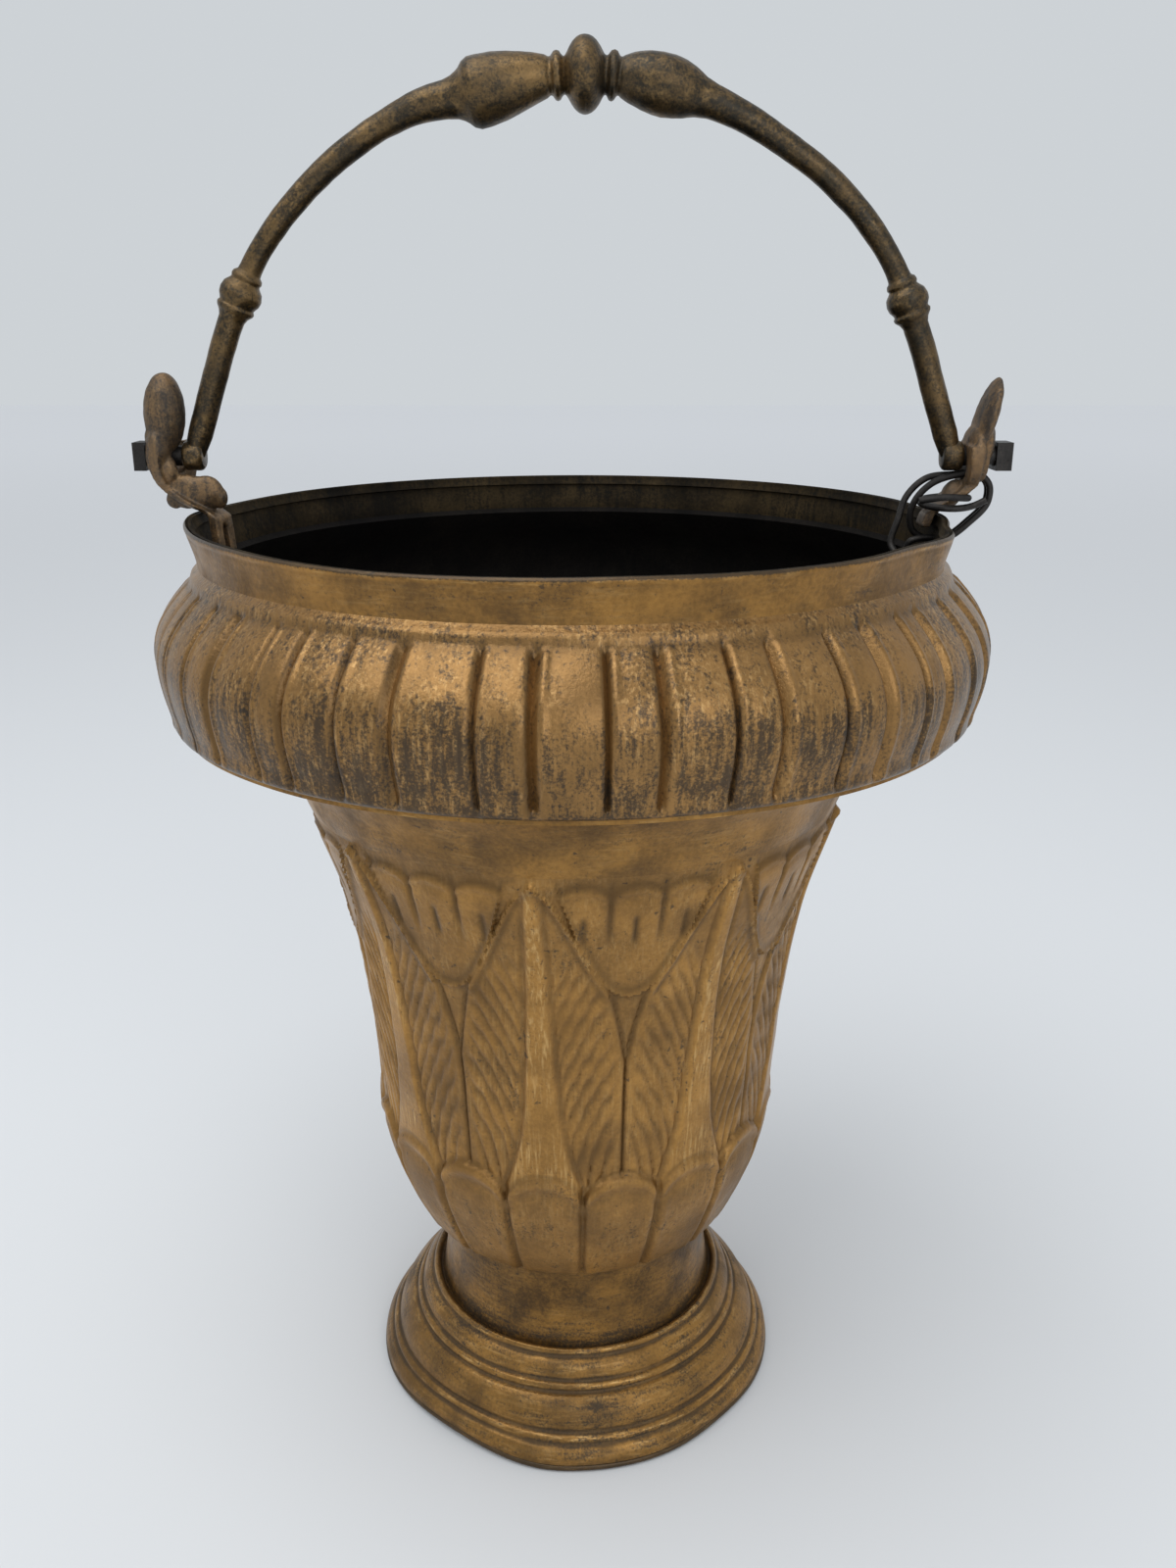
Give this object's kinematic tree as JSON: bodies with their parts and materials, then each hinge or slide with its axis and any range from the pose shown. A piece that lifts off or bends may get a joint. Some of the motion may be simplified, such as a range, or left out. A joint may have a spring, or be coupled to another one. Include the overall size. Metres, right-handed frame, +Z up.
{
  "type": "embossed metal bucket with swinging bail",
  "caption": "Footed sheet-metal bucket with embossed leaves, a gadrooned shoulder and a cast bail that swings in ears at the rim.",
  "frame": {"origin": "middle of the circle that the foot stands on", "axes": "+Z up along the bucket's axis, X along the bail's pivot line from the left ear to the right ear, -Y towards the viewer of the picture"},
  "size_m": [0.2556, 0.2448, 0.4198],
  "materials": {
    "gilt_sheet": "worn gold-bronze paint over dark embossed sheet metal",
    "ear_bronze": "dull brown cast bronze",
    "bail_bronze": "olive-brown cast bronze with rubbed gold highlights",
    "iron_peg": "dark forged iron",
    "iron_wire": "dark iron wire"
  },
  "bodies": {
    "vessel": {"foot_edge": "gilt_sheet", "foot_base": "gilt_sheet", "foot_spool": "gilt_sheet", "cup": "gilt_sheet", "shoulder": "gilt_sheet", "collar": "gilt_sheet", "mouth_band": "gilt_sheet", "left_ear": "ear_bronze", "right_ear": "ear_bronze", "right_ear_lashing": "iron_wire", "right_rim_tie": "iron_wire"},
    "bail": {"bail_knop": "bail_bronze", "left_ring": "bail_bronze", "left_grip": "bail_bronze", "left_arm": "bail_bronze", "left_knop": "bail_bronze", "left_shank": "bail_bronze", "left_peg": "iron_peg", "right_ring": "bail_bronze", "right_grip": "bail_bronze", "right_arm": "bail_bronze", "right_knop": "bail_bronze", "right_shank": "bail_bronze", "right_peg": "iron_peg"}
  },
  "joints": [
    {"name": "bail_swing", "type": "hinge", "parent": "vessel", "child": "bail", "pos_m": [0, 0, 0.31], "axis": [1, 0, 0], "range_deg": [-93, 93]}
  ]
}
